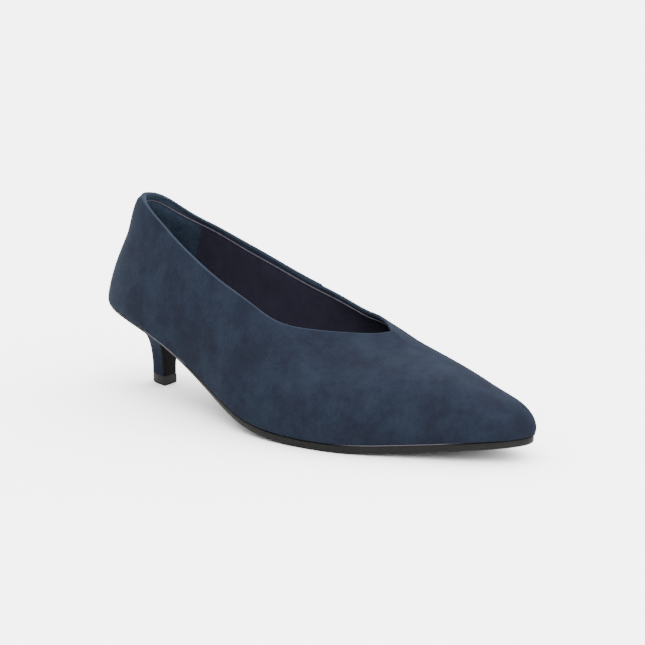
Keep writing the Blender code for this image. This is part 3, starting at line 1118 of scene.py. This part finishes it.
    def heel_grip(self) -> bpy.types.Object:
        """The suede patch inside the counter: a sheet over the lining that thins out
        towards its top and its front edges.

        Returns:
            The grip's object.
        """
        angles = np.linspace(END_ANGLE, LAST.station(self.grip_front_x), self.grip_columns)
        shares = np.linspace(*self.grip_shares, self.grip_rows)
        lined = LAST.wall + self.lining_thickness
        from_front = 1 - np.linspace(0, 1, self.grip_columns)
        from_top = 1 - np.linspace(0, 1, self.grip_rows)
        thin = smooth_step(0, self.grip_thin[0], from_front)[:, None]
        thin = thin * smooth_step(0, self.grip_thin[1], from_top)[None]
        depth = lined + self.grip_edge + self.grip_thickness * thin
        sheets = []
        for side in Side:
            top = self.lining_top(side, angles)
            turns = self.even_turns(side, angles, top, np.tile(shares, (len(angles), 1)))
            back = self.layer(side, angles, turns, lined - self.grip_sunk)
            front = self.layer(side, angles, turns, depth[..., None])
            sheet = np.concatenate([back, front[:, ::-1]], axis=1)
            sheet[0, :, 1] = 0.0
            sheets.append(sheet)
        grid = np.concatenate([sheets[0][::-1], sheets[1][1:]])
        points, faces, ends = stack_rings(grid)
        grip = make_piece("heel_grip", points, faces, GRIP_SUEDE, ends=ends, weld=0.004)
        return grip

    def seam_stitches(self) -> bpy.types.Object:
        """Thread along the lapped side seam: short capsules side by side, each a ring
        swept down the wall and narrowed to nothing at its ends as the root of a sine.

        Returns:
            The stitches' object.
        """
        rows, around = self.stitch_rows, self.stitch_around
        behind = self.stitch_behind / LAST.half_length
        angles = np.full(1, LAST.station(self.seam_x) - behind)
        top = LAST.collar_turn(Side.MEDIAL, angles, LAST.throat_x)
        starts = np.arange(*self.stitch_span, self.stitch_pitch)
        along = -(starts[:, None] + np.linspace(0, self.stitch_length, rows)[None])
        turns = self.even_turns(Side.MEDIAL, angles, top, along.reshape(1, -1))
        normal = LAST.inward(Side.MEDIAL, angles[:, None], turns)[0]
        path = self.layer(Side.MEDIAL, angles, turns, -(self.seam_step + self.stitch_lift))[0]
        path = path.reshape(len(starts), rows, 3)
        normal = normal.reshape(len(starts), rows, 3)
        taper = np.linspace(self.stitch_taper, math.pi - self.stitch_taper, rows)
        width = self.stitch_radius * np.sin(taper) ** 0.5
        turn = np.linspace(0, 2 * math.pi, around, endpoint=False)[:, None, None, None]
        ring = np.array(self.stitch_across) * np.cos(turn) + normal * np.sin(turn)
        points = np.moveaxis(path + ring * width[None, None, :, None], 0, 2)
        faces = []
        ends = []
        for i, stitch in enumerate(points):
            _, one, loops = stack_rings(stitch)
            faces.append(one + i * rows * around)
            ends += [loop + i * rows * around for loop in loops]
        thread = make_piece("seam_stitches", points, np.concatenate(faces), NAVY_THREAD,
                            ends=ends, weld=0.001)
        return thread

    def build(self) -> None:
        """Builds every piece of the upper."""
        self.shell()
        self.lining()
        self.heel_grip()
        self.seam_stitches()


@dataclass(frozen=True)
class Sole:
    """The thin sole with its trimmed edge, and the pale line where the upper meets it."""

    columns: int = 220
    sections: Table = (
        (0, 0.8, 0.6),
        (45, 0.9, 0.8),
        (75, 2.0, 0.8),
        (110, 3.2, 0.6),
        (145, 4.1, 0.5),
        (200, 4.1, 0.5),
        (250, 3.8, 0.8),
        (262, 3.7, 1.4),
    )
    # Rows round the trimmed edge: inset, share of the thickness, and lift into the joint.
    edge_rows: Table = (
        (2.6, 0.00, 0.28),
        (1.6, 0.00, 0.28),
        (1.3, 0.00, 0.00),
        (0.5, 0.00, 0.00),
        (0.12, 0.04, 0.00),
        (0.00, 0.14, 0.00),
        (0.02, 0.35, 0.00),
        (0.06, 0.60, 0.00),
        (0.20, 0.78, 0.00),
        (0.50, 0.90, 0.00),
        (1.00, 0.97, 0.00),
        (1.70, 1.00, 0.00),
        (3.00, 1.00, 0.00),
    )
    # Where the line shows: start, full from, full to, end, and its share.
    line_shown: Table = (
        (44, 47, 70, 88, 1.0),
        (160, 200, 222, 250, 0.88),
    )
    line_columns: int = 400
    line_radius: float = 0.24
    line_hidden: float = 2.5
    line_reach: float = 2.3

    def read(self, x: Grid) -> dict[str, Grid]:
        """The sole's thickness and inset at a place x, by the names of the columns."""
        table = np.array(self.sections, float)
        return read_columns(table[:, 0], table, x, SOLE_COLUMNS)

    def top(self, x: Grid) -> Grid:
        """Height of the upper face, just under the upper's margin."""
        return LAST.feather(x) - LAST.gap

    def bottom(self, x: Grid) -> Grid:
        """Height of the lower face, flat on the floor under the ball."""
        return np.maximum(self.top(x) - self.read(x)["thickness"], 0)

    def ring(self, inset: float, depth: float, lift: float, angles: Grid) -> Grid:
        """A closed ring round the sole: along the lateral edge to the toe and back along
        the medial one.

        Args:
            inset: Distance in from the sole's own edge.
            depth: Share of the thickness below its top.
            lift: Millimetres that fill the joint above it.
            angles: Angles round the last.

        Returns:
            The ring's points.
        """
        parts = []
        for side, part in LAST.round_trip(angles):
            x, y = LAST.outline(side, part, self.read(LAST.place(part))["inset"] + inset)
            z = self.top(x) + (self.bottom(x) - self.top(x)) * depth + lift
            parts.append(np.stack([x, y, z], -1))
        return np.concatenate(parts)

    def outsole(self) -> bpy.types.Object:
        """The sole: rings from its top to its bottom that round the trimmed edge, closed
        by rungs from side to side.

        Returns:
            The sole's object.
        """
        angles = np.linspace(0, math.pi, self.columns)
        angles = np.clip(angles, END_ANGLE, math.pi - END_ANGLE)
        points = np.stack([self.ring(*row, angles) for row in self.edge_rows])
        levels, count = points.shape[:2]
        rung = np.arange(count // 2)
        flat = np.stack([rung, rung + 1, count - rung - 1, (count - rung) % count], -1)
        loops = [np.array(list(dict.fromkeys(face))) for face in flat.tolist()]
        loops += [loop[::-1] + (levels - 1) * count for loop in loops]
        faces = quads(levels, count, closed=True)
        sole = make_piece("trimmed_sole", points, faces, SOLE_BOARD, ends=loops)
        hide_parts("outsole")
        return sole

    def joint_line(self) -> bpy.types.Object:
        """The pale cut edge in the joint between the upper and the sole: a thin tube
        along the bottom edge, drawn inwards where it is hidden.

        Returns:
            The line's object.
        """
        angles = np.linspace(2 * END_ANGLE, math.pi - 2 * END_ANGLE, self.line_columns)
        parts = []
        for side, part in LAST.round_trip(angles):
            x = LAST.place(part)
            show = sum(share * smooth_step(start, full, x) * smooth_step(end, fading, x)
                       for start, full, fading, end, share in self.line_shown)
            x, y = LAST.outline(side, part, self.line_hidden - self.line_reach * show)
            parts.append(np.stack([x, y, LAST.feather(x) - 0.5 * LAST.gap], -1))
        tube, corners = sweep(np.concatenate(parts), self.line_radius)
        line = make_piece("joint_line", tube, corners, RAW_EDGE, weld=0.002)
        return line

    def build(self) -> None:
        """Builds the sole and its joint line."""
        self.outsole()
        self.joint_line()


@dataclass(frozen=True)
class Heel:
    """The covered kitten heel, the facing of its breast and its lift."""

    sole: Sole
    sections: Table = (
        (0.00, 37.8, 0.245, 0.19),
        (0.15, 37.8, 0.245, 0.195),
        (0.34, 38.2, 0.27, 0.23),
        (0.52, 39.2, 0.33, 0.30),
        (0.70, 40.8, 0.47, 0.46),
        (0.86, 43.0, 0.74, 0.74),
        (0.96, 45.2, 0.97, 0.96),
        (1.00, 46.0, 1.00, 1.00),
    )
    seat_x: float = 46.0
    inset: float = 1.4
    levels: int = 90
    back_steps: int = 72
    front_steps: int = 12
    seat_fill: float = 0.93
    seat_joint: float = 0.02
    corner_wear: float = 0.3
    facing: float = 1.0
    facing_levels: int = 60
    facing_joint: float = 0.04
    # Points round the facing: ahead of the breast, in from its corner, share across it.
    facing_outline: Table = (
        (-0.1, 0.0, 0.0),
        (0.9, 0.0, 0.0),
        (1.2, 0.25, 0.0),
        (1.3, 0.7, 0.0),
        (1.3, 0.0, 0.5),
        (1.3, -0.7, 1.0),
        (1.2, -0.25, 1.0),
        (0.9, 0.0, 1.0),
        (-0.1, 0.0, 1.0),
    )
    lift_height: float = 5.0
    # Rings of the lift from its top down: height and share of its size.
    lift_edge: Table = (
        (5.28, 0.92),
        (5.0, 0.94),
        (5.0, 0.97),
        (4.85, 1.0),
        (0.7, 1.0),
        (0.25, 0.975),
        (0.0, 0.93),
        (0.0, 0.8),
    )

    def ring(self, level: float, back: int, front: int) -> Grid:
        """A closed ring of the heel at a level: the seat's back outline drawn in towards
        the breast by the level's shares, then straight across the breast.

        Args:
            level: 1 at the seat, 0 at the lift.
            back: Steps round the back.
            front: Steps across the breast.

        Returns:
            The ring's points.
        """
        table = np.array(self.sections, float)
        row = read_columns(table[:, 0], table, level, HEEL_COLUMNS)
        angles = LAST.station(self.seat_x) * np.linspace(1, 0, back // 2 + 1)
        x_lateral, y_lateral = LAST.outline(Side.LATERAL, angles, self.inset)
        x_medial, y_medial = LAST.outline(Side.MEDIAL, angles[-2::-1], self.inset)
        x_seat = np.minimum(np.concatenate([x_lateral, x_medial]), self.seat_x)
        y_seat = np.concatenate([y_lateral, y_medial])
        across = np.linspace(y_seat[-1], y_seat[0], front + 1)[1:-1]
        x_seat = np.concatenate([x_seat, np.full(front - 1, self.seat_x)])
        y_seat = np.concatenate([y_seat, across])
        x = row["breast_x"] - (self.seat_x - x_seat) * row["depth_share"]
        y = y_seat * row["width_share"]
        low = self.lift_height + LAST.gap
        seat = self.sole.bottom(x) - LAST.gap
        return np.stack([x, y, low + (seat - low) * level], -1)

    def block(self) -> bpy.types.Object:
        """The suede-covered block: rings from the seat down to the lift, under a smaller
        one that fills the joint with the sole.

        Returns:
            The block's object.
        """
        rings = [self.ring(level, self.back_steps, self.front_steps)
                 for level in np.linspace(1, 0, self.levels)]
        middle = rings[0].mean(axis=0) * (1, 1, 0)
        filled = middle + (rings[0] - middle) * (self.seat_fill, self.seat_fill, 1)
        filled[:, 2] = self.sole.bottom(filled[:, 0]) - self.seat_joint
        points, faces, ends = stack_rings([filled, *rings])
        highlight_and_wear = np.zeros(points.shape[:2])
        highlight_and_wear[:, [0, self.back_steps]] = self.corner_wear
        block = make_piece("covered_heel", points, faces, NAVY_SUEDE, highlight_and_wear, ends)
        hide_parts("heel")
        return block

    def breast(self) -> bpy.types.Object:
        """The facing glued to the flat front of the heel: at each level its outline is
        set between the heel's two corners and follows the fall of the sole ahead.

        Returns:
            The facing's object.
        """
        ahead, across, share = np.array(self.facing_outline).T
        rings = []
        for level in np.linspace(1, 0, self.facing_levels):
            corners = self.ring(level, 2, 1)
            points = corners[0] + (corners[-1] - corners[0]) * share[:, None]
            fall = self.sole.bottom(points[:, 0]) - self.sole.bottom(points[:, 0] + ahead)
            rings.append(points + np.stack([ahead, across, -fall * level], -1))
        rings[0][:, 2] += LAST.gap - self.facing_joint
        points, faces, ends = stack_rings(rings)
        breast = make_piece("breast_facing", points, faces, BREAST_FACING, ends=ends)
        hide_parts("heel_breast")
        return breast

    def lift(self) -> bpy.types.Object:
        """The rubber lift: the heel's lowest ring stretched to the facing's front, with
        softened edges and a worn lower one.

        Returns:
            The lift's object.
        """
        ring = self.ring(0.0, self.back_steps, self.front_steps)
        back = ring[:, 0].min()
        front = ring[:, 0].max()
        reach = front + LAST.gap + self.facing - back
        ring[:, 0] = back + (ring[:, 0] - back) * reach / (front - back)
        middle = (ring.min(axis=0) + ring.max(axis=0)) / 2
        rings = []
        for height, share in self.lift_edge:
            drawn = middle + (ring - middle) * share
            drawn[:, 2] = height
            rings.append(drawn)
        points, faces, ends = stack_rings(rings)
        lift = make_piece("rubber_lift", points, faces, LIFT_RUBBER, ends=ends)
        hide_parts("top_piece")
        return lift

    def build(self) -> None:
        """Builds the heel's pieces."""
        self.block()
        self.breast()
        self.lift()


def direction(azimuth: float, elevation: float) -> Vector:
    """Unit vector from the shoe towards a place round it.

    Args:
        azimuth: Degrees round the shoe: 0 off its outer side, 90 off its toe.
        elevation: Degrees above the floor.

    Returns:
        The vector.
    """
    side = math.radians(azimuth)
    rise = math.radians(elevation)
    return Vector((math.sin(side) * math.cos(rise), -math.cos(side) * math.cos(rise),
                   math.sin(rise)))


@dataclass(frozen=True)
class Lamp:
    """A far lamp behind a wide diffuser, by its place round the shoe in degrees."""

    name: str
    azimuth: float
    elevation: float
    strength: float
    spread: float = 130.0

    def build(self) -> None:
        """Places the lamp, turned towards the shoe."""
        glow = bpy.data.lights.new(self.name, "SUN")
        glow.energy = self.strength
        glow.angle = math.radians(self.spread)
        lamp = bpy.data.objects.new(self.name, glow)
        towards = direction(self.azimuth, self.elevation)
        lamp.rotation_euler = towards.to_track_quat("Z", "Y").to_euler()
        bpy.context.scene.collection.objects.link(lamp)


@dataclass(frozen=True)
class Studio:
    """The pale floor, the soft light and the camera at the photograph's angle."""

    azimuth: float = 37.67
    elevation: float = 15.05
    roll: float = -0.41
    distance: float = 1277.5
    focal: float = 2591.3
    target: tuple[float, float, float] = (129.8, -7.2, 40.0)
    centre: tuple[float, float] = (301.24, 339.19)
    clip: tuple[float, float] = (0.01, 50.0)
    floor_tone: str = "f7f7f7"
    floor_reach: float = 8.0
    sky_strength: float = 1.6
    # The key stands almost overhead, off the toe's inner side, the fill off the heel.
    lamps: tuple[Lamp, ...] = (Lamp("key", 140.0, 70.0, 15.2), Lamp("fill", -60.0, 40.0, 0.456))

    def camera(self) -> None:
        """Places the camera on a line from the target, turned by the azimuth round the
        shoe and raised by the elevation. The shift moves the target to its pixel."""
        side, lean = math.radians(self.azimuth), math.radians(self.roll)
        back = direction(self.azimuth, self.elevation)
        level = Vector((math.cos(side), math.sin(side), 0.0))
        upright = back.cross(level)
        right = level * math.cos(lean) + upright * math.sin(lean)
        upward = upright * math.cos(lean) - level * math.sin(lean)
        target = Vector(self.target) - Vector((LAST.origin_x, LAST.origin_y, 0.0))
        lens = bpy.data.cameras.new("camera")
        lens.sensor_width = SENSOR_MM
        lens.lens = self.focal * SENSOR_MM / PHOTO_SIDE
        lens.shift_x = (PHOTO_SIDE / 2 - self.centre[0]) / PHOTO_SIDE
        lens.shift_y = (self.centre[1] - PHOTO_SIDE / 2) / PHOTO_SIDE
        lens.clip_start, lens.clip_end = self.clip
        camera = bpy.data.objects.new("camera", lens)
        turned = Matrix((right, upward, back)).transposed().to_4x4()
        camera.matrix_world = Matrix.Translation((target + back * self.distance) * MM) @ turned
        bpy.context.scene.collection.objects.link(camera)
        bpy.context.scene.camera = camera

    def floor(self) -> None:
        """A wide sheet of matt pale paper under the shoe."""
        reach = self.floor_reach
        corners = [(-reach, -reach, 0), (reach, -reach, 0), (reach, reach, 0), (-reach, reach, 0)]
        mesh = bpy.data.meshes.new("paper_floor")
        mesh.from_pydata(corners, [], [(0, 1, 2, 3)])
        material, shader = start_material("pale_paper")
        shader.inputs["Base Color"].default_value = tone(self.floor_tone)
        shader.inputs["Roughness"].default_value = 1.0
        shader.inputs["Specular IOR Level"].default_value = 0.0
        mesh.materials.append(material)
        floor = bpy.data.objects.new("paper_floor", mesh)
        bpy.context.scene.collection.objects.link(floor)

    def sky(self) -> None:
        """An even white glow from all round, which keeps the shadows soft."""
        world = bpy.data.worlds.new("studio")
        world.use_nodes = True
        glow = world.node_tree.nodes["Background"]
        glow.inputs["Color"].default_value = (1.0, 1.0, 1.0, 1.0)
        glow.inputs["Strength"].default_value = self.sky_strength
        bpy.context.scene.world = world

    def build(self) -> None:
        """Builds the studio."""
        self.camera()
        self.floor()
        self.sky()
        for lamp in self.lamps:
            lamp.build()


def dress_insole(nodes: dict[str, bpy.types.Object]) -> None:
    """Gives the insole's solid the lining's leather.

    Args:
        nodes: The solids of the frame by name.
    """
    insole = nodes["insole"]
    insole.data.materials.clear()
    insole.data.materials.append(bpy.data.materials[NAVY_LINING.name])
    LOG.info("insole: dressed in %s", NAVY_LINING.name)


def main() -> None:
    logging.basicConfig(level=logging.INFO, format="%(name)s %(message)s")
    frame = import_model()
    sole = Sole()
    Upper().build()
    sole.build()
    Heel(sole).build()
    dress_insole(frame["nodes"])
    Studio().build()


if __name__ == "__main__":
    main()
